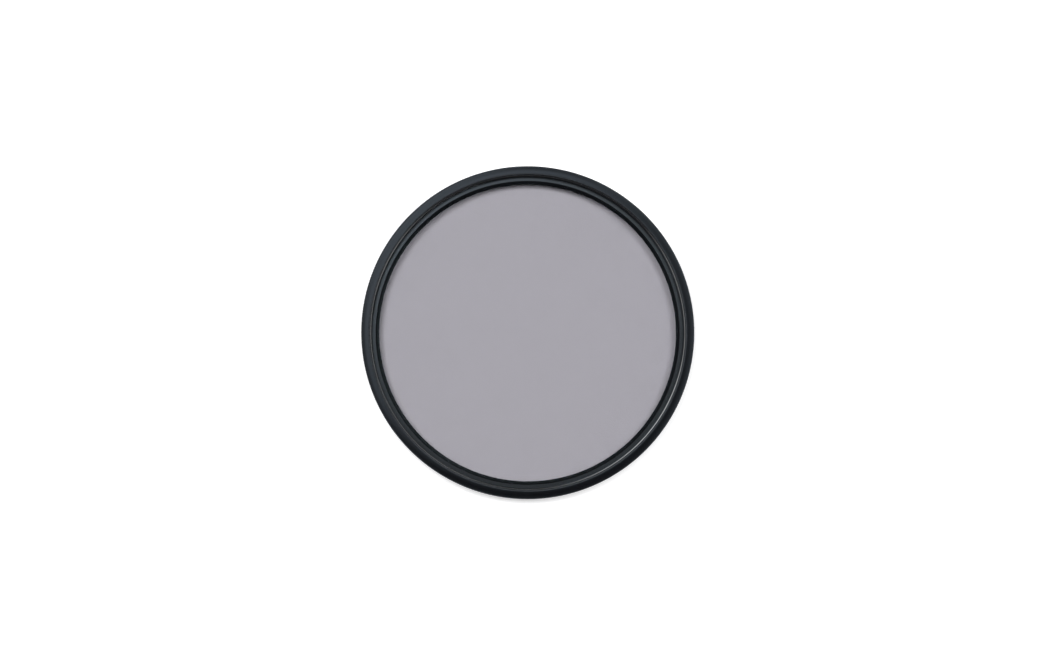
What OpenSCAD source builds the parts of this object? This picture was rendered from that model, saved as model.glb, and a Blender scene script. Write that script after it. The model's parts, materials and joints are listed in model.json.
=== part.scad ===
// Rotating circular polarizing filter. A fixed mount ring screws into a lens. The front ring
// turns on it, holds the laminated polarizer and takes a lens cap or a second filter in front.
// Origin: on the optical axis, at the rear end of the male thread. +Z points to the front.

/* [Filter thread] */
// Nominal diameter of the filter thread, male and female
thread_d = 77; // [49:1:95]
// Length of the male thread behind the shoulder
rear_thread_len = 2.3; // [1.5:0.1:3.5]
// Length of the female thread in front of the polarizer, with its relief and mouth
front_thread_len = 2.5; // [2:0.1:3.5]
// How much smaller the male thread is than nominal, on the radius
male_thread_slack = 0.05; // [0.02:0.01:0.1]
// Width of the relief groove at the inner end of each thread
thread_relief = 0.4; // [0.25:0.05:0.5]
// Depth of a thread below its crests, which is also the depth of the male relief
thread_depth = 0.45; // [0.3:0.05:0.6]
// How much deeper than the female thread its own relief groove is cut
female_relief = 0.1; // [0.05:0.05:0.3]

/* [Mount ring] */
// Wall of the threaded tail, from its bore to the thread's crests
tail_wall = 1.45; // [1.25:0.05:1.9]
// Thickness of the flange, which is the shoulder that stops against the lens
flange_t = 1.4; // [1.2:0.05:2]
// Thickness of the web left behind the hollow that the glass cell sinks into
web_t = 0.7; // [0.5:0.05:0.9]
// Wall of the spigot that the front ring turns on
spigot_wall = 0.95; // [0.8:0.05:1.4]
// Height of the spigot above the flange
spigot_h = 1.9; // [1.7:0.05:2.1]
// How far the flange stays inside the front ring, on the radius
flange_inset = 0.25; // [0.1:0.05:0.6]

/* [Front ring] */
// Wall of the skirt outside the spigot
skirt_wall = 1.1; // [1.05:0.05:2]
// Wall of the glass cell, between the retaining ring's thread and the spigot
cell_wall = 0.65; // [0.5:0.05:1]
// Thickness of the lip that the glass bears on
lip_t = 1.05; // [0.6:0.05:1.3]
// How far the lip reaches in over the glass
lip_w = 1.05; // [0.7:0.05:1.3]
// Width of the cone turned on the lip's inner edge
lip_cone = 0.9; // [0.4:0.05:1]
// Width of the lead-in chamfer at the mouth of the female thread
mouth_chamfer = 0.4; // [0.2:0.05:0.6]
// Width of the flat land of the front face, from the mouth chamfer to the crown
face_w = 0.4; // [0.3:0.05:0.6]
// Drop of the rounded crown, from the front face to the ring's side
crown_drop = 0.85; // [0.5:0.05:1.1]

/* [Grip] */
// Number of flutes round the grip
flute_count = 180; // [60:10:200]
// Radius of the cutter that makes a flute
flute_r = 0.5; // [0.3:0.05:0.55]
// Depth of a flute below the recessed grip band
flute_depth = 0.22; // [0.1:0.02:0.3]
// Depth of the band that the flutes are cut in, below the plain lands
grip_recess = 0.08; // [0.04:0.02:0.2]
// Plain stretch of the band left beyond each end of the flutes
flute_end = 0.1; // [0.05:0.05:0.4]
// Height of the plain land above the grip
upper_land = 0.5; // [0.3:0.05:0.9]
// Height of the plain land below the grip
lower_land = 0.6; // [0.3:0.05:0.9]

/* [Polarizer] */
// How much smaller the glass is than the thread, on the radius
glass_inset = 1.1; // [0.9:0.05:1.6]
// Thickness of each of the two glass discs
glass_t = 0.85; // [0.7:0.05:1.5]
// Thickness of the linear polarizing foil
foil_t = 0.2; // [0.1:0.02:0.4]
// Thickness of the quarter-wave foil
wave_t = 0.12; // [0.08:0.02:0.3]
// Thickness of each layer of clear optical cement between the discs
cement_t = 0.02; // [0.01:0.01:0.05]

/* [Retaining ring] */
// Thickness of the ring that screws in behind the glass
keeper_t = 0.8; // [0.7:0.05:1.4]
// Width of the ring, on the radius
keeper_w = 1.2; // [1:0.05:1.5]
// How much wider the ring's thread is than the glass seat, on the radius
keeper_step = 0.4; // [0.25:0.05:0.5]
// Width of the two spanner slots
slot_w = 1.6; // [1:0.1:2.4]
// Depth of the spanner slots
slot_depth = 0.5; // [0.3:0.05:0.6]
// How far the slots reach out from the ring's bore
slot_reach = 0.75; // [0.5:0.05:0.9]

/* [Snap ring] */
// Diameter of the spring wire
wire_d = 0.6; // [0.4:0.05:0.7]
// Height of the wire's middle above the flange
wire_h = 1.2; // [0.95:0.05:1.25]
// Opening between the wire's two ends, in degrees
wire_gap = 14; // [6:1:30]

/* [Clearances] */
// Running clearance between the spigot and the skirt, on the radius
bearing_slack = 0.05; // [0.02:0.01:0.1]
// Clearance of the turning ring from the fixed one everywhere else
turn_gap = 0.15; // [0.1:0.01:0.25]
// Clearance of the wire in its two grooves
groove_slack = 0.04; // [0.02:0.01:0.08]
// Clearance round the glass, on the radius
glass_slack = 0.05; // [0.02:0.01:0.1]
// Clearance of the retaining ring's thread, on the radius
keeper_slack = 0.03; // [0.01:0.01:0.06]
// How deep the retaining ring sits inside the end of the cell
keeper_sink = 0.1; // [0.05:0.05:0.3]
// Size of the small chamfers that break the turned edges
edge_break = 0.12; // [0.05:0.01:0.2]

/* [Hidden] */
$fn = 180;

// Radii, from the glass out to the grip
thread_r = thread_d / 2;
male_r = thread_r - male_thread_slack;
tail_bore_r = male_r - tail_wall;
glass_r = thread_r - glass_inset;
lip_r = glass_r - lip_w;
seat_r = glass_r + glass_slack;
keeper_bore_r = seat_r + keeper_step;
keeper_r = keeper_bore_r - keeper_slack;
cell_r = keeper_bore_r + cell_wall;
spigot_in_r = cell_r + turn_gap;
spigot_r = spigot_in_r + spigot_wall;
skirt_in_r = spigot_r + bearing_slack;
ring_r = skirt_in_r + skirt_wall;
flange_r = ring_r - flange_inset;
mouth_r = thread_r + mouth_chamfer;
face_r = mouth_r + face_w;
wire_r = (spigot_r + skirt_in_r) / 2;
grip_r = ring_r - grip_recess;

// The crown is an arc that leaves the front face level and meets the ring's side at crown_turn
crown_w = ring_r - face_r;
crown_arc_r = (crown_w * crown_w + crown_drop * crown_drop) / (2 * crown_drop);
crown_turn = atan2(crown_w, crown_arc_r - crown_drop);
crown_steps = 7;

// Heights, from the rear end of the male thread to the front face
shoulder_z = rear_thread_len;
web_z = shoulder_z + web_t;
flange_z = shoulder_z + flange_t;
spigot_z = flange_z + spigot_h;
wire_z = flange_z + wire_h;
cell_z = web_z + turn_gap;
skirt_z = flange_z + turn_gap;
pocket_z = spigot_z + turn_gap;
keeper_z = cell_z + keeper_sink;
rear_glass_z = keeper_z + keeper_t;
wave_z = rear_glass_z + glass_t + cement_t;
foil_z = wave_z + wave_t + cement_t;
front_glass_z = foil_z + foil_t + cement_t;
lip_z = front_glass_z + glass_t;
thread_z = lip_z + lip_t;
front_z = thread_z + front_thread_len;
grip_top_z = front_z - crown_drop - upper_land;
grip_low_z = skirt_z + lower_land;
flute_top_z = grip_top_z - grip_recess - flute_end;
flute_low_z = grip_low_z + grip_recess + flute_end;

// Half the width of each wire groove, and its floor in the spigot and in the skirt
groove_half = wire_d / 2 + groove_slack;
spigot_groove_r = wire_r - groove_half;
skirt_groove_r = wire_r + groove_half;

// Turns an outline of [radius, height] points into a ring
module turned(outline) {
    rotate_extrude() polygon(outline);
}

// Threaded tail, shoulder flange and the spigot that the front ring turns on. The shoulder is
// undercut at the relief groove, so that a lens's rim seats flat outside the thread's crests
module mount_ring() {
    color([0.11, 0.12, 0.14])
    turned([
        [tail_bore_r + edge_break, 0],
        [male_r - thread_depth, 0],
        [male_r, thread_depth],
        [male_r, shoulder_z - thread_relief],
        [male_r - thread_depth, shoulder_z - thread_relief],
        [male_r - thread_depth, shoulder_z + edge_break],
        [male_r + edge_break, shoulder_z],
        [flange_r - edge_break, shoulder_z],
        [flange_r, shoulder_z + edge_break],
        [flange_r, flange_z - edge_break],
        [flange_r - edge_break, flange_z],
        [spigot_r, flange_z],
        [spigot_r, wire_z - groove_half],
        [spigot_groove_r, wire_z - groove_half],
        [spigot_groove_r, wire_z + groove_half],
        [spigot_r, wire_z + groove_half],
        [spigot_r, spigot_z - edge_break],
        [spigot_r - edge_break, spigot_z],
        [spigot_in_r + edge_break, spigot_z],
        [spigot_in_r, spigot_z - edge_break],
        [spigot_in_r, web_z],
        [tail_bore_r + edge_break, web_z],
        [tail_bore_r, web_z - edge_break],
        [tail_bore_r, edge_break]
    ]);
}

// Open ring of spring wire, half in the spigot's groove and half in the skirt's
module snap_ring() {
    color([0.72, 0.73, 0.75])
    translate([0, 0, wire_z])
    rotate([0, 0, wire_gap / 2])
    rotate_extrude(angle = 360 - wire_gap)
    translate([wire_r, 0])
    circle(d = wire_d, $fn = 24);
}

// Front ring as turned: skirt, pocket for the spigot, glass cell, lip and female thread
module front_ring_blank() {
    turned([
        [skirt_in_r + edge_break, skirt_z],
        [ring_r - edge_break, skirt_z],
        [ring_r, skirt_z + edge_break],
        [ring_r, grip_low_z],
        [grip_r, grip_low_z + grip_recess],
        [grip_r, grip_top_z - grip_recess],
        [ring_r, grip_top_z],
        for (step = [crown_steps : -1 : 0])
            [face_r + crown_arc_r * sin(crown_turn * step / crown_steps),
             front_z - crown_arc_r * (1 - cos(crown_turn * step / crown_steps))],
        [mouth_r, front_z],
        [thread_r, front_z - mouth_chamfer],
        [thread_r, thread_z + thread_relief],
        [thread_r + female_relief, thread_z + thread_relief],
        [thread_r + female_relief, thread_z],
        [lip_r + lip_cone, thread_z],
        [lip_r, thread_z - min(lip_cone, lip_t - edge_break)],
        [lip_r, lip_z],
        [seat_r, lip_z],
        [seat_r, rear_glass_z],
        [keeper_bore_r, rear_glass_z],
        [keeper_bore_r, cell_z],
        [cell_r - edge_break, cell_z],
        [cell_r, cell_z + edge_break],
        [cell_r, pocket_z],
        [skirt_in_r, pocket_z],
        [skirt_in_r, wire_z + groove_half],
        [skirt_groove_r, wire_z + groove_half],
        [skirt_groove_r, wire_z - groove_half],
        [skirt_in_r, wire_z - groove_half],
        [skirt_in_r, skirt_z + edge_break]
    ]);
}

// One cutter for each flute, standing against the grip band
module flute_cutters() {
    for (i = [0 : flute_count - 1])
        rotate([0, 0, (i + 0.5) * 360 / flute_count])
        translate([grip_r - flute_depth + flute_r, 0, flute_low_z])
        cylinder(r = flute_r, h = flute_top_z - flute_low_z, $fn = 24);
}

// Rotating ring with its fluted grip
module front_ring() {
    color([0.13, 0.14, 0.16])
    difference() {
        front_ring_blank();
        flute_cutters();
    }
}

// A flat disc of the laminate, with its rear face at height z
module disc(z, t) {
    translate([0, 0, z])
    cylinder(r = glass_r, h = t);
}

// Outer glass disc, against the lip
module front_glass() {
    color([0.62, 0.62, 0.66, 0.5])
    disc(front_glass_z, glass_t);
}

// Linear polarizing foil, which gives the filter its grey
module polarizing_foil() {
    color([0.4, 0.39, 0.42, 0.7])
    disc(foil_z, foil_t);
}

// Retarder foil that turns the polarized light circular for the camera behind it
module quarter_wave_foil() {
    color([0.75, 0.76, 0.72, 0.5])
    disc(wave_z, wave_t);
}

// Inner glass disc, against the retaining ring
module rear_glass() {
    color([0.62, 0.62, 0.66, 0.5])
    disc(rear_glass_z, glass_t);
}

// Threaded ring that clamps the laminate, with two slots for a lens spanner
module retaining_ring() {
    color([0.09, 0.1, 0.11])
    difference() {
        turned([
            [keeper_r - keeper_w + edge_break, keeper_z],
            [keeper_r - edge_break, keeper_z],
            [keeper_r, keeper_z + edge_break],
            [keeper_r, rear_glass_z],
            [keeper_r - keeper_w, rear_glass_z],
            [keeper_r - keeper_w, keeper_z + edge_break]
        ]);
        for (side = [0, 180])
            rotate([0, 0, side])
            translate([keeper_r - keeper_w - slot_w, -slot_w / 2, keeper_z - slot_depth])
            cube([slot_w + slot_reach, slot_w, 2 * slot_depth]);
    }
}

mount_ring();
snap_ring();
front_ring();
front_glass();
polarizing_foil();
quarter_wave_foil();
rear_glass();
retaining_ring();
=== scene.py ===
# Rotating circular polarizing filter, in the order in which it is put together from behind: mount
# ring, snap ring, front ring, the four discs of the polarizer and the ring that clamps them.
import json
import math

import bmesh
import bpy
from mathutils import Matrix, Vector


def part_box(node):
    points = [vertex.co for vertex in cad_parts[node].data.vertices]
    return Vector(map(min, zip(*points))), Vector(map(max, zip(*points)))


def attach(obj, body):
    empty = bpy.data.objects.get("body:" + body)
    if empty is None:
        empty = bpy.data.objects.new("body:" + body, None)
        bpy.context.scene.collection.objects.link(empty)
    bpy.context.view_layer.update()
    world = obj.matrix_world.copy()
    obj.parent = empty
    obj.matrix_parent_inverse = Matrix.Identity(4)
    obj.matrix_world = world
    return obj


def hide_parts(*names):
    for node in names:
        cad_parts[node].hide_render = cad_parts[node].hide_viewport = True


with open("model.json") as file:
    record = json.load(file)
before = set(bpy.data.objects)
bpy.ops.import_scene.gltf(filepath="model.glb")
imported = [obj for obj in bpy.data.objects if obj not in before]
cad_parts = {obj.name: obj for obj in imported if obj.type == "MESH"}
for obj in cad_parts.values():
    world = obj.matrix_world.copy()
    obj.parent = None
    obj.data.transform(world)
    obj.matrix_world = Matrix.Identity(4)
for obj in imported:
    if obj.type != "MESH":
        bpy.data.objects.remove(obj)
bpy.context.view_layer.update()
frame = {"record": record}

# Mount ring: the fixed rear ring, turned from aluminium and anodised black. The thread on its tail
# screws into a lens, its flange stops on the lens's rim, and the front ring turns on its spigot.
MM = 0.001
PITCH = 0.75
EDGE_ROUND = 0.05
ROUND_STEPS = 3
BLACK = {"dark": (0.002, 0.0022, 0.0027), "light": (0.006, 0.0065, 0.008), "gloss": 0.28}
WORN = (0.075, 0.078, 0.085, 1)
# The lighter grey painted on the front ring's land: a painted sheen, standing in for the light it
# catches.
PAINTED_SHEEN_GREY = (0.027, 0.031, 0.034, 1)


class Value:
    """A shader socket that Python's own signs work on: each sign adds its Math node."""

    def __init__(self, finish, socket):
        self.finish = finish
        self.socket = socket

    def maths(self, operation, *values):
        return self.finish.node("Math", {"operation": operation}, dict(enumerate(values)))

    def __add__(self, other):
        return self.maths("ADD", self, other)

    def __sub__(self, other):
        return self.maths("SUBTRACT", self, other)

    def __rsub__(self, other):
        return self.maths("SUBTRACT", other, self)

    def __mul__(self, other):
        return self.maths("MULTIPLY", self, other)

    def __truediv__(self, other):
        return self.maths("DIVIDE", self, other)

    def __pow__(self, other):
        return self.maths("POWER", self, other)

    def __abs__(self):
        return self.maths("ABSOLUTE", self)

    __radd__ = __add__
    __rmul__ = __mul__

    def root(self):
        return self.maths("SQRT", self)

    def faded(self, low, high):
        """0 at low and 1 at high, smooth between them and flat beyond."""
        return self.finish.node("MapRange", {"interpolation_type": "SMOOTHSTEP"},
                                {"Value": self, "From Min": low, "From Max": high})


class Finish:
    """A material, or the world's shader, that is mixed node by node."""

    def __init__(self, name, owner=None):
        self.owner = owner or bpy.data.materials.new(name)
        self.owner.use_nodes = True
        self.tree = self.owner.node_tree
        self.tree.nodes.clear()

    def node(self, kind, settings=None, values=None, output=0):
        """Adds a node: its settings first, then the values or links of its sockets."""
        node = self.tree.nodes.new("ShaderNode" + kind)
        for name, setting in (settings or {}).items():
            setattr(node, name, setting)
        for name, value in (values or {}).items():
            if isinstance(value, Value):
                self.tree.links.new(value.socket, node.inputs[name])
            else:
                node.inputs[name].default_value = value
        return Value(self, node.outputs[output])

    def shown(self, surface, kind="OutputMaterial"):
        end = self.tree.nodes.new("ShaderNode" + kind)
        self.tree.links.new(surface.socket, end.inputs["Surface"])
        return self.owner

    def sockets(self, value, names):
        """The sockets of these names on the node that a value comes from."""
        return [Value(self, value.socket.node.outputs[name]) for name in names]

    def place(self):
        """The point on the piece, and its radius and height, in millimetres."""
        point = self.node("TexCoord", output="Object")
        scaled = self.node("VectorMath", {"operation": "SCALE"}, {0: point, "Scale": 1 / MM})
        apart = self.node("SeparateXYZ", values={0: scaled})
        x, y, z = self.sockets(apart, "XYZ")
        return scaled, (x * x + y * y).root(), z

    def noise(self, place, scale, detail=2.0, roughness=0.5):
        """Noise from 0 to 1, with features about 1 / scale millimetres across."""
        return self.node("TexNoise", values={"Vector": place, "Scale": scale, "Detail": detail,
                                             "Roughness": roughness})


def anodised(name, dark, light, gloss, edges=(), cut_r=0.0, cut_z=0.0):
    """Black anodised aluminium: a bead-blasted grain under faint turning lines, and a thinner,
    paler skin on the turned edges, each given by its radius and height. What was cut after the
    blasting, inside cut_r, is smooth: bright near the roots of the thread, above cut_z. The land
    below it is painted a lighter grey, a painted sheen that stands in for the light it catches."""
    finish = Finish(name)
    place, radius, height = finish.place()
    grain = finish.noise(place, 3.0, 3.0, 0.65)
    patches = finish.noise(place, 0.35, 2.0)
    across = finish.node("CombineXYZ", values={"X": radius, "Y": height})
    turning = finish.noise(across, 9.0, 1.0)
    edge = None
    for edge_r, edge_z in edges:
        away = ((radius - edge_r) ** 2 + (height - edge_z) ** 2).root()
        near = 1 - away.faded(0.03, 0.16)
        edge = near if edge is None else edge + near
    tone = grain.faded(0.25, 0.75) * 0.6 + patches * 0.4
    colour = finish.node("Mix", {"data_type": "RGBA"},
                         {"Factor": tone, "A": (*dark, 1), "B": (*light, 1)}, output="Result")
    roughness = gloss + grain * 0.14 - 0.07 + patches * 0.06
    if edge is not None:
        worn = edge * grain.faded(0.2, 0.6)
        colour = finish.node("Mix", {"data_type": "RGBA"},
                             {"Factor": worn * 0.6, "A": colour, "B": WORN}, output="Result")
        roughness = roughness - worn * 0.12
    cut = 1 - radius.faded(cut_r - 0.03, cut_r + 0.01)
    bright = (radius.faded(cut_r - 0.22, cut_r - 0.18) * height.faded(cut_z, cut_z + 0.1)
              * (1 - radius.faded(cut_r - 0.03, cut_r)))
    roughness = roughness * (1 - cut * 0.6)
    skin = finish.node("Bump", values={"Strength": 0.6, "Distance": 0.03 * MM,
                                       "Height": grain * (1 - cut)})
    skin = finish.node("Bump", values={"Strength": 0.35, "Distance": 0.004 * MM,
                                       "Height": turning, "Normal": skin})
    # Painted sheen: the land gets a lighter grey, which stands in for the light it catches.
    land = (cut * radius.faded(cut_r - 1.35, cut_r - 1.2) * height.faded(cut_z - 0.65, cut_z - 0.5)
            * (1 - height.faded(cut_z - 0.35, cut_z - 0.25)))
    colour = finish.node("Mix", {"data_type": "RGBA"},
                         {"Factor": land * (0.7 + grain * 0.5), "A": colour, "B": PAINTED_SHEEN_GREY},
                         output="Result")
    return finish.shown(finish.node("BsdfPrincipled", values={
        "Base Color": colour, "Roughness": roughness, "IOR": 1.6, "Normal": skin,
        "Specular Tint": (0.72, 0.85, 1.0, 1), "Coat Weight": bright, "Coat Roughness": 0.18,
        "Coat IOR": 4.0}))


def section(outline, plain=(), open_side=False):
    """A closed outline of (radius, height) corners, in mm, as a wire with its corners rounded but
    for the plain ones. An open side, from the last corner to the first, is left out."""
    wire = bmesh.new()
    corners = [wire.verts.new((radius * MM, 0, height * MM)) for radius, height in outline]
    wire.faces.new(corners)
    side = wire.edges.get((corners[-1], corners[0]))
    rounded = [corner for number, corner in enumerate(corners) if number not in plain]
    bmesh.ops.bevel(wire, geom=rounded, affect="VERTICES", offset=EDGE_ROUND * MM,
                    segments=ROUND_STEPS, profile=0.5, material=-1)
    bmesh.ops.delete(wire, geom=wire.faces[:], context="FACES_ONLY")
    if open_side:
        wire.edges.remove(side)
    return wire


def spun(wire, copies, steps, climb=0.0):
    """Spins a wire round the axis through one part of the turn, climbing in mm as it goes."""
    bmesh.ops.spin(wire, geom=wire.verts[:] + wire.edges[:], cent=(0, 0, 0), axis=(0, 0, 1),
                   dvec=(0, 0, climb * MM / steps), angle=2 * math.pi / copies, steps=steps)
    return wire


def around(whole, part, copies, climb=0.0):
    """Adds the copies of a part that fill the turn to the whole mesh, each climbing as much."""
    data = bpy.data.meshes.new("part")
    part.to_mesh(data)
    part.free()
    onward = Matrix.Translation((0, 0, climb * MM)) @ Matrix.Rotation(2 * math.pi / copies, 4, "Z")
    for _ in range(copies):
        whole.from_mesh(data)
        data.transform(onward)
    bpy.data.meshes.remove(data)
    return whole


def threaded(whole, tooth, low, high, limit, copies, steps):
    """Adds a right-hand thread: the tooth, repeated up the wall, is spun one turn while it climbs
    one pitch. What passes its ends is drawn back to them, and limit(radius, height) trims it."""
    wire = bmesh.new()
    chain = [wire.verts.new((radius * MM, 0, (low + (turn + share) * PITCH) * MM))
             for turn in range(-2, math.ceil((high - low) / PITCH) + 1) for radius, share in tooth]
    for pair in zip(chain, chain[1:]):
        wire.edges.new(pair)
    thread = around(bmesh.new(), spun(wire, copies, steps, PITCH / copies), copies,
                    PITCH / copies)
    for vertex in thread.verts:
        vertex.co.z = min(max(vertex.co.z, low * MM), high * MM)
        radius = vertex.co.xy.length
        vertex.co.xy *= limit(radius / MM, vertex.co.z / MM) * MM / radius
    around(whole, thread, 1)


def piece(name, mesh, body, material, replaced):
    """Closes a mesh, gives it its material and sets it on its body in place of a CAD node."""
    bmesh.ops.remove_doubles(mesh, verts=mesh.verts[:], dist=2e-7)
    bmesh.ops.recalc_face_normals(mesh, faces=mesh.faces[:])
    for face in mesh.faces:
        face.smooth = True
    data = bpy.data.meshes.new(name)
    mesh.to_mesh(data)
    mesh.free()
    data.set_sharp_from_angle(angle=math.radians(40))
    data.materials.append(material)
    made = bpy.data.objects.new(name, data)
    bpy.context.scene.collection.objects.link(made)
    made.modifiers.new("flat_faces", "WEIGHTED_NORMAL").keep_sharp = True
    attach(made, body)
    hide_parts(replaced)
    return made


def mm_box(node):
    """A CAD node's outer radius, and the heights of its two ends, in millimetres. The radius is
    read at -X, because the snap ring is open at +X."""
    low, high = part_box(node)
    return -low.x / MM, low.z / MM, high.z / MM


mounts = {mount["name"]: mount for mount in frame["record"]["mounts"]}
WIRE_D = 0.6
WIRE_ROOM = 0.04
tooth_depth = 0.406
tooth_flank = tooth_depth * math.tan(math.radians(30)) / PITCH
flange_r, tail_z, spigot_z = mm_box("mount_ring")
male_r = mounts["rear_thread"]["dims"]["r_mm"]
shoulder_z = mounts["shoulder"]["pos_m"][2] / MM
edge = 0.12
male_root_r = male_r - 0.45
relief_z = shoulder_z - 0.4
tail_bore_r = male_r - 1.45
web_z = shoulder_z + 0.7
flange_z = shoulder_z + 1.4
spigot_r = flange_r - 0.9
spigot_in_r = spigot_r - 0.95
wire_r, wire_low_z, wire_top_z = mm_box("snap_ring")
groove_low_z = wire_low_z - WIRE_ROOM
groove_top_z = wire_top_z + WIRE_ROOM
groove_r = wire_r - WIRE_D - WIRE_ROOM

mount_mesh = around(bmesh.new(), spun(section([
    (male_root_r, relief_z),
    (male_root_r, shoulder_z + edge),
    (male_r + edge, shoulder_z),
    (flange_r - edge, shoulder_z),
    (flange_r, shoulder_z + edge),
    (flange_r, flange_z - edge),
    (flange_r - edge, flange_z),
    (spigot_r, flange_z),
    (spigot_r, groove_low_z),
    (groove_r, groove_low_z),
    (groove_r, groove_top_z),
    (spigot_r, groove_top_z),
    (spigot_r, spigot_z - edge),
    (spigot_r - edge, spigot_z),
    (spigot_in_r + edge, spigot_z),
    (spigot_in_r, spigot_z - edge),
    (spigot_in_r, web_z),
    (tail_bore_r + edge, web_z),
    (tail_bore_r, web_z - edge),
    (tail_bore_r, edge),
    (tail_bore_r + edge, tail_z),
    (male_root_r, tail_z),
], plain=(0, 1, 7, 8, 9, 10, 11, 16, 21), open_side=True), copies=36, steps=10), copies=36)
male_tooth = [(male_r, 0), (male_r, 1 / 8), (male_root_r, 1 / 8 + tooth_flank),
              (male_root_r, 1 - tooth_flank)]
threaded(mount_mesh, male_tooth, tail_z, relief_z,
         lambda radius, height: min(radius, male_root_r + min(height - tail_z, relief_z - height)),
         copies=36, steps=10)
piece("mount_ring_turned", mount_mesh, "mount",
      anodised("mount_anodised", **BLACK,
               edges=[(flange_r, shoulder_z), (flange_r, flange_z), (male_r, tail_z + 0.45)]),
      "mount_ring")

# Snap ring: an open ring of spring wire that sits half in the spigot's groove and half in the
# skirt's, and so keeps the front ring on while it turns. Bright drawn steel with a film of grease.
GAP_DEG = 14
wire = bmesh.new()
bmesh.ops.create_circle(wire, segments=16, radius=WIRE_D / 2 * MM)
bmesh.ops.rotate(wire, verts=wire.verts[:], cent=(0, 0, 0),
                 matrix=Matrix.Rotation(math.pi / 2, 3, "X"))
bmesh.ops.translate(wire, verts=wire.verts[:],
                    vec=((wire_r - WIRE_D / 2) * MM, 0, (wire_low_z + wire_top_z) / 2 * MM))
bmesh.ops.rotate(wire, verts=wire.verts[:], cent=(0, 0, 0),
                 matrix=Matrix.Rotation(math.radians(GAP_DEG / 2), 3, "Z"))
bmesh.ops.spin(wire, geom=wire.verts[:] + wire.edges[:], cent=(0, 0, 0), axis=(0, 0, 1),
               angle=math.radians(360 - GAP_DEG), steps=240)
bmesh.ops.holes_fill(wire, edges=[side for side in wire.edges if side.is_boundary], sides=16)
steel = Finish("drawn_steel")
place, radius, height = steel.place()
drawn = steel.noise(steel.node("CombineXYZ", values={"X": radius * 6, "Y": height * 6}), 4.0)
film = steel.noise(place, 0.8, 3.0)
steel_colour = steel.node("Mix", {"data_type": "RGBA"},
                          {"Factor": film, "A": (0.42, 0.42, 0.43, 1), "B": (0.6, 0.6, 0.61, 1)},
                          output="Result")
steel_skin = steel.node("Bump", values={"Strength": 0.4, "Distance": 0.003 * MM,
                                        "Height": drawn})
piece("snap_ring_wire", wire, "mount",
      steel.shown(steel.node("BsdfPrincipled", values={
          "Base Color": steel_colour, "Metallic": 1.0, "Roughness": 0.2 + film * 0.2,
          "Normal": steel_skin})),
      "snap_ring")

# Front ring: the ring that the hand turns, turned in one piece with the glass cell, the lip over
# the glass, the female thread for a cap and a fluted grip. Bead-blasted and anodised black.
FLUTES = 180
STEPS_PER_FLUTE = 6
FLUTE_R = 0.5
FLUTE_DEPTH = 0.22
MOUTH_CHAMFER = 0.25
CROWN_DROP = 0.85
CROWN_STEPS = 9
LIP_CONE = 0.9
LIP_FALL = 0.05
SKIN = 0.004
ring_r, cell_z, front_z = mm_box("front_ring")
glass_r, _, lip_z = mm_box("front_glass")
keeper_r, keeper_z, clamp_z = mm_box("retaining_ring")
thread_r = mounts["front_thread"]["dims"]["r_mm"]
thread_z = lip_z + 1.05
mouth_r = thread_r + MOUTH_CHAMFER
lip_r = glass_r - 1.05
seat_r = glass_r + 0.05
keeper_bore_r = keeper_r + 0.03
cell_r = spigot_in_r - 0.15
skirt_in_r = spigot_r + 0.05
skirt_z = flange_z + 0.15
skirt_groove_r = wire_r + WIRE_ROOM
pocket_z = spigot_z + 0.15
bevel_z = front_z - CROWN_DROP
grip_r = ring_r - 0.08
grip_top_z = bevel_z - 0.5
grip_low_z = skirt_z + 0.6
flute_top_z = grip_top_z - 0.18
flute_low_z = grip_low_z + 0.18
relief_r = thread_r + 0.1
relief_top_z = thread_z + 0.4
chamfer_z = front_z - MOUTH_CHAMFER

crown_w = ring_r - mouth_r
crown_arc_r = (crown_w ** 2 + CROWN_DROP ** 2) / (2 * CROWN_DROP)
crown_turn = math.atan2(crown_w, crown_arc_r - CROWN_DROP)
crown = [(mouth_r + crown_arc_r * math.sin(crown_turn * step / CROWN_STEPS),
          front_z - crown_arc_r * (1 - math.cos(crown_turn * step / CROWN_STEPS)))
         for step in range(CROWN_STEPS, 0, -1)]
front_outline = [
    (relief_r, relief_top_z),
    (relief_r, thread_z - LIP_FALL),
    (lip_r + LIP_CONE, thread_z),
    (lip_r, thread_z - LIP_CONE),
    (lip_r, lip_z),
    (seat_r, lip_z),
    (seat_r, clamp_z),
    (keeper_bore_r, clamp_z),
    (keeper_bore_r, cell_z),
    (cell_r - edge, cell_z),
    (cell_r, cell_z + edge),
    (cell_r, pocket_z),
    (skirt_in_r, pocket_z),
    (skirt_in_r, groove_top_z),
    (skirt_groove_r, groove_top_z),
    (skirt_groove_r, groove_low_z),
    (skirt_in_r, groove_low_z),
    (skirt_in_r, skirt_z + edge),
    (skirt_in_r + edge, skirt_z),
    (ring_r - edge, skirt_z),
    (ring_r, skirt_z + edge),
    (ring_r, grip_low_z),
    (grip_r, grip_low_z + 0.08),
    (grip_r, flute_low_z - SKIN),
    (grip_r, flute_low_z + SKIN),
    (grip_r, flute_top_z - SKIN),
    (grip_r, flute_top_z + SKIN),
    (grip_r, grip_top_z - 0.08),
    (ring_r, grip_top_z),
    *crown,
    (mouth_r, front_z),
    (thread_r, chamfer_z),
]
count = len(front_outline)
flute = spun(section(front_outline,
                     plain=(0, 1, 2, *range(4, 17), 23, 24, 25, 26,
                            *range(30, 29 + CROWN_STEPS), count - 1), open_side=True),
             copies=FLUTES, steps=STEPS_PER_FLUTE)
cutter_r = grip_r - FLUTE_DEPTH + FLUTE_R
half_width = math.acos((cutter_r ** 2 + FLUTE_R ** 2 - grip_r ** 2) / (2 * cutter_r * FLUTE_R))
step = 2 * math.pi / FLUTES / STEPS_PER_FLUTE
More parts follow.
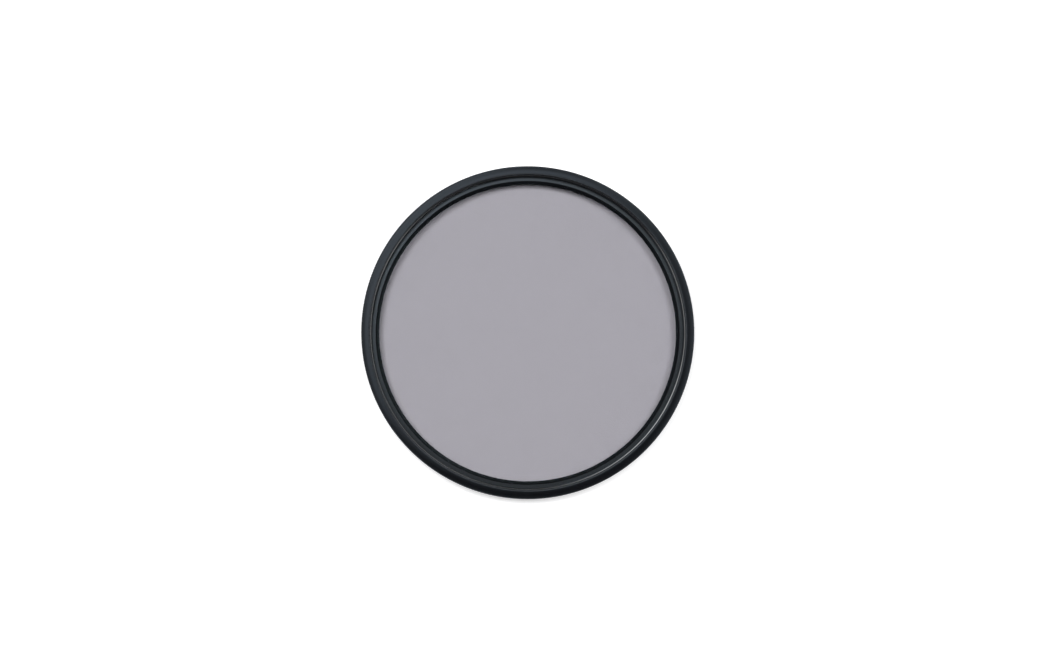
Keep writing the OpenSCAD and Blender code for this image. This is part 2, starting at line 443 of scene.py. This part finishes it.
for vertex in flute.verts:
    radius, height = vertex.co.xy.length / MM, vertex.co.z / MM
    column = round(math.atan2(vertex.co.y, vertex.co.x) / step)
    in_band = (abs(radius - grip_r) < SKIN
               and flute_low_z - 2 * SKIN < height < flute_top_z + 2 * SKIN)
    if in_band and 0 < column < STEPS_PER_FLUTE:
        turn = half_width * (column - STEPS_PER_FLUTE / 2) / (STEPS_PER_FLUTE / 2 - 1)
        x, y = cutter_r - FLUTE_R * math.cos(turn), FLUTE_R * math.sin(turn)
        cut = flute_low_z < height < flute_top_z
        across = math.hypot(x, y) if cut else grip_r
        angle = math.pi / FLUTES + math.atan2(y, x)
        vertex.co.xy = across * MM * math.cos(angle), across * MM * math.sin(angle)
front_mesh = around(bmesh.new(), flute, FLUTES)
female_tooth = [(thread_r, 0), (thread_r, 1 / 8), (thread_r - tooth_depth, 1 / 8 + tooth_flank),
                (thread_r - tooth_depth, 1 - tooth_flank)]
threaded(front_mesh, female_tooth, relief_top_z, chamfer_z,
         lambda radius, height: max(radius, relief_r - (height - relief_top_z),
                                    thread_r - (chamfer_z - height)),
         copies=FLUTES, steps=STEPS_PER_FLUTE)
piece("front_ring_turned", front_mesh, "rotor",
      anodised("front_anodised", **BLACK,
               edges=[(mouth_r, front_z), (ring_r, bevel_z), (ring_r, skirt_z)],
               cut_r=thread_r, cut_z=relief_top_z),
      "front_ring")

# Polarizer: two discs of optical glass with the polarizing foil and the quarter-wave foil cemented
# between them. The outer glass faces are coated, their edges ground, and the foil gives the grey.
# Shadow and diffuse rays pass the discs unseen, because their limit is eight clear faces.
LIGHT_THROUGH = (0.514, 0.49, 0.555)


def disc(name, node, material, bevel):
    """A flat disc of the laminate, with its rims broken, spun from half of its section."""
    radius, low, high = mm_box(node)
    half = section([(0, low), (radius - bevel, low), (radius, low + bevel),
                    (radius, high - bevel), (radius - bevel, high), (0, high)],
                   plain=range(6), open_side=True)
    made = piece(name, around(bmesh.new(), spun(half, 36, 10), 36), "rotor", material, node)
    made.visible_shadow = False
    made.visible_diffuse = False
    return made


def coated_glass(name, coated_z):
    """Optical glass: clear all through, with the coating's faint colour on its face at coated_z
    only, and a ground grey edge."""
    glass = Finish(name)
    place, radius, height = glass.place()
    outer = 1 - abs(height - coated_z).faded(0.02, 0.06)
    ground = radius.faded(glass_r - 0.25, glass_r - 0.15)
    smudge = glass.noise(place, 0.12, 3.0)
    glint = glass.node("LayerWeight", values={"Blend": 0.5}, output="Facing") ** 5 * 0.8 + 0.003
    coat = glass.node("BsdfGlossy", values={"Color": (0.72, 0.9, 0.81, 1),
                                            "Roughness": 0.01 + smudge * 0.02})
    clear = glass.node("BsdfTransparent", values={"Color": (0.985, 0.99, 0.985, 1)})
    rim = glass.node("BsdfDiffuse", values={"Color": (0.02, 0.02, 0.022, 1)})
    face = glass.node("MixShader", values={0: glint * outer, 1: clear, 2: coat})
    return glass.shown(glass.node("MixShader", values={0: ground, 1: face, 2: rim}))


disc("front_glass_disc", "front_glass",
     coated_glass("front_glass_coated", mm_box("front_glass")[2]), 0.12)

foil = Finish("polarizing_foil")
place = foil.place()[0]
tint = tuple(share ** 0.5 for share in LIGHT_THROUGH)
grey = foil.node("BsdfTransparent", values={"Color": (*tint, 1)})
haze = foil.node("BsdfDiffuse", values={"Color": (0.30, 0.295, 0.31, 1)})
stretch = foil.noise(foil.node("VectorMath", {"operation": "MULTIPLY"},
                               {0: place, 1: (0.05, 3.0, 1.0)}), 1.0, 2.0)
disc("polarizing_foil_disc", "polarizing_foil",
     foil.shown(foil.node("MixShader", values={0: stretch * 0.02, 1: grey, 2: haze})), 0.02)

wave = Finish("quarter_wave_foil")
place = wave.place()[0]
wave_clear = wave.node("BsdfTransparent", values={"Color": (0.985, 0.985, 0.975, 1)})
wave_haze = wave.node("BsdfDiffuse", values={"Color": (0.5, 0.5, 0.48, 1)})
disc("quarter_wave_foil_disc", "quarter_wave_foil",
     wave.shown(wave.node("MixShader", values={0: wave.noise(place, 0.5) * 0.01, 1: wave_clear,
                                               2: wave_haze})), 0.02)
disc("rear_glass_disc", "rear_glass",
     coated_glass("rear_glass_coated", mm_box("rear_glass")[1]), 0.12)

# Retaining ring: screws into the cell behind the glass and clamps the laminate against the lip.
# Turned aluminium, anodised matt black, with two slots for a lens spanner.
SLOT_W = 1.6
SLOT_DEPTH = 0.5
SLOT_REACH = 0.75
keeper_in_r = keeper_r - 1.2
slot_end_r = keeper_in_r + SLOT_REACH
slot_z = keeper_z + SLOT_DEPTH
keeper_mesh = around(bmesh.new(), spun(section([
    (keeper_in_r + edge, keeper_z),
    (slot_end_r - SKIN, keeper_z),
    (slot_end_r + SKIN, keeper_z),
    (keeper_r - edge, keeper_z),
    (keeper_r, keeper_z + edge),
    (keeper_r, clamp_z),
    (keeper_in_r, clamp_z),
    (keeper_in_r, slot_z + SKIN),
    (keeper_in_r, slot_z),
    (keeper_in_r, keeper_z + edge),
], plain=(1, 2, 5, 6, 7, 8)), copies=36, steps=10), copies=36)
slot_turns = (0, SLOT_W / 2 / keeper_r - SKIN / keeper_r, SLOT_W / 2 / keeper_r)
for vertex in keeper_mesh.verts:
    side = math.copysign(1, vertex.co.x)
    column = round(math.degrees(math.atan2(vertex.co.y * side, vertex.co.x * side)))
    if abs(column) < len(slot_turns):
        radius = vertex.co.xy.length
        turn = math.copysign(slot_turns[abs(column)], column)
        vertex.co.xy = side * radius * math.cos(turn), side * radius * math.sin(turn)
        if abs(column) < 2 and radius < slot_end_r * MM:
            vertex.co.z = max(vertex.co.z, slot_z * MM)
piece("retaining_ring_turned", keeper_mesh, "rotor",
      anodised("keeper_anodised", (0.008, 0.0082, 0.009), (0.014, 0.0145, 0.016), 0.5),
      "retaining_ring")

# Floor: a pale seamless sweep of paper whose diffuse part keeps the shadow. It is white to the
# camera and in reflections, glows a little more far off, where the lamps are weak, and is clear
# from below. Round the filter it glows too, painted light that washes out the shadow there, and
# under the filter it doesn't, a painted shade on the paper seen through the glass.
FLOOR_HALF = 3.0
floor_mesh = bmesh.new()
bmesh.ops.create_grid(floor_mesh, x_segments=1, y_segments=1, size=FLOOR_HALF)
floor_data = bpy.data.meshes.new("floor")
floor_mesh.to_mesh(floor_data)
floor_mesh.free()
floor = bpy.data.objects.new("floor", floor_data)
bpy.context.scene.collection.objects.link(floor)
paper = Finish("white_paper")
radius = paper.place()[1]
camera_ray, glossy_ray, transmission_ray = paper.sockets(
    paper.node("LightPath"), ("Is Camera Ray", "Is Glossy Ray", "Is Transmission Ray"))
seen = camera_ray + glossy_ray + transmission_ray
lit = paper.node("BsdfDiffuse", values={"Color": (0.8, 0.8, 0.81, 1)})
# Painted light and shade: the glow is left out under the filter, so the paper seen through the
# glass is darker, and it fills in the shadow round the filter.
painted_glow_outside_filter = radius.faded(tail_bore_r + 0.2, male_r - 0.2)
far_paper = radius.faded(160, 500)
glow = paper.node("Emission", values={"Color": (1, 1, 1, 1),
                                      "Strength": seen * (painted_glow_outside_filter * 0.6 + far_paper * 0.4)})
both = paper.node("AddShader", values={0: lit, 1: glow})
under = paper.node("NewGeometry", output="Backfacing")
through = paper.node("BsdfTransparent")
floor_data.materials.append(
    paper.shown(paper.node("MixShader", values={0: under, 1: both, 2: through})))

# Lights: two soft boxes over the filter, which only its dull colour catches, and a room whose
# ceiling is paler to the upper left, which is what the black ring reflects.
def soft_box(name, azimuth, tilt, distance, width, depth, level):
    """A lamp turned to the filter. Azimuth is clockwise from the right, as in the picture, tilt is
    off the vertical, and level is how white it makes white paper."""
    across = distance * math.sin(math.radians(tilt))
    turn = math.radians(azimuth)
    at = Vector((across * math.cos(turn), -across * math.sin(turn),
                 distance * math.cos(math.radians(tilt))))
    lamp = bpy.data.lights.new(name, "AREA")
    lamp.shape = "RECTANGLE"
    lamp.size = width
    lamp.size_y = depth
    lamp.energy = math.pi ** 2 * level * distance ** 2 / math.cos(math.radians(tilt))
    box = bpy.data.objects.new(name, lamp)
    box.location = at
    box.rotation_euler = Vector((0, 0, 1)).rotation_difference(at).to_euler()
    box.visible_camera = False
    box.visible_glossy = False
    bpy.context.scene.collection.objects.link(box)


soft_box("left_box", 210, 10.5, 0.9, 0.20, 0.18, 0.60)
soft_box("right_box", 340, 10, 0.9, 0.20, 0.18, 0.41)

room = Finish("room", bpy.data.worlds.new("room"))
bpy.context.scene.world = room.owner
direction = room.node("TexCoord", output="Generated")
up = room.node("SeparateXYZ", values={0: direction}, output="Z")


def towards(azimuth):
    """How far a direction leans to an azimuth, clockwise from the right as in the picture."""
    turn = math.radians(azimuth)
    return room.node("VectorMath", {"operation": "DOT_PRODUCT"},
                     {0: direction, 1: (math.cos(turn), -math.sin(turn), 0)}, output="Value")


key_side = towards(228)
overhead = towards(268).faded(0.0, 0.08) * up.faded(0.9, 0.97) * 0.4
left_ceiling = key_side.faded(-0.02, 0.28) * (0.2 + up.faded(0.45, 0.9) * 1.1)
left_window = key_side.faded(0.66, 0.87) * up.faded(0.1, 0.45) * 1.3
right_wall = towards(345).faded(0.35, 0.85) * 0.42
low_wall = (1 - up.faded(0.0, 0.35)) * 0.04
ceiling = 0.05 + overhead + left_ceiling + left_window + right_wall + low_wall
seen, glossy = room.sockets(room.node("LightPath"), ("Is Camera Ray", "Is Glossy Ray"))
strength = seen + glossy * ceiling + (1 - seen) * (1 - glossy) * 0.05
room.shown(room.node("Background", values={"Color": (1, 1, 1, 1), "Strength": strength}),
           "OutputWorld")

# Camera: straight above the filter, far enough for the picture's flat perspective.
PICTURE_W, PICTURE_H = 1059, 667
RING_AT = (527.68, 332.81)
RING_R_PX = 166.35
AWAY = 1.2
TILT = math.radians(2.6)
TILT_WAY = Vector((-0.447, -0.894, 0))
pixel = ring_r / RING_R_PX * MM
camera = bpy.data.cameras.new("camera")
camera.sensor_width = 36
camera.lens = camera.sensor_width * AWAY / (PICTURE_W * pixel)
aim = Vector(((PICTURE_W / 2 - RING_AT[0]) * pixel, -(PICTURE_H / 2 - RING_AT[1]) * pixel,
              (skirt_z + bevel_z) / 2 * MM))
sight = Vector((0, 0, math.cos(TILT))) + TILT_WAY * math.sin(TILT)
camera_at = bpy.data.objects.new("camera", camera)
camera_at.location = aim + sight * AWAY
camera_at.rotation_euler = Vector((0, 0, 1)).rotation_difference(sight).to_euler()
bpy.context.scene.collection.objects.link(camera_at)
bpy.context.scene.camera = camera_at
bpy.context.scene.view_settings.view_transform = "Standard"
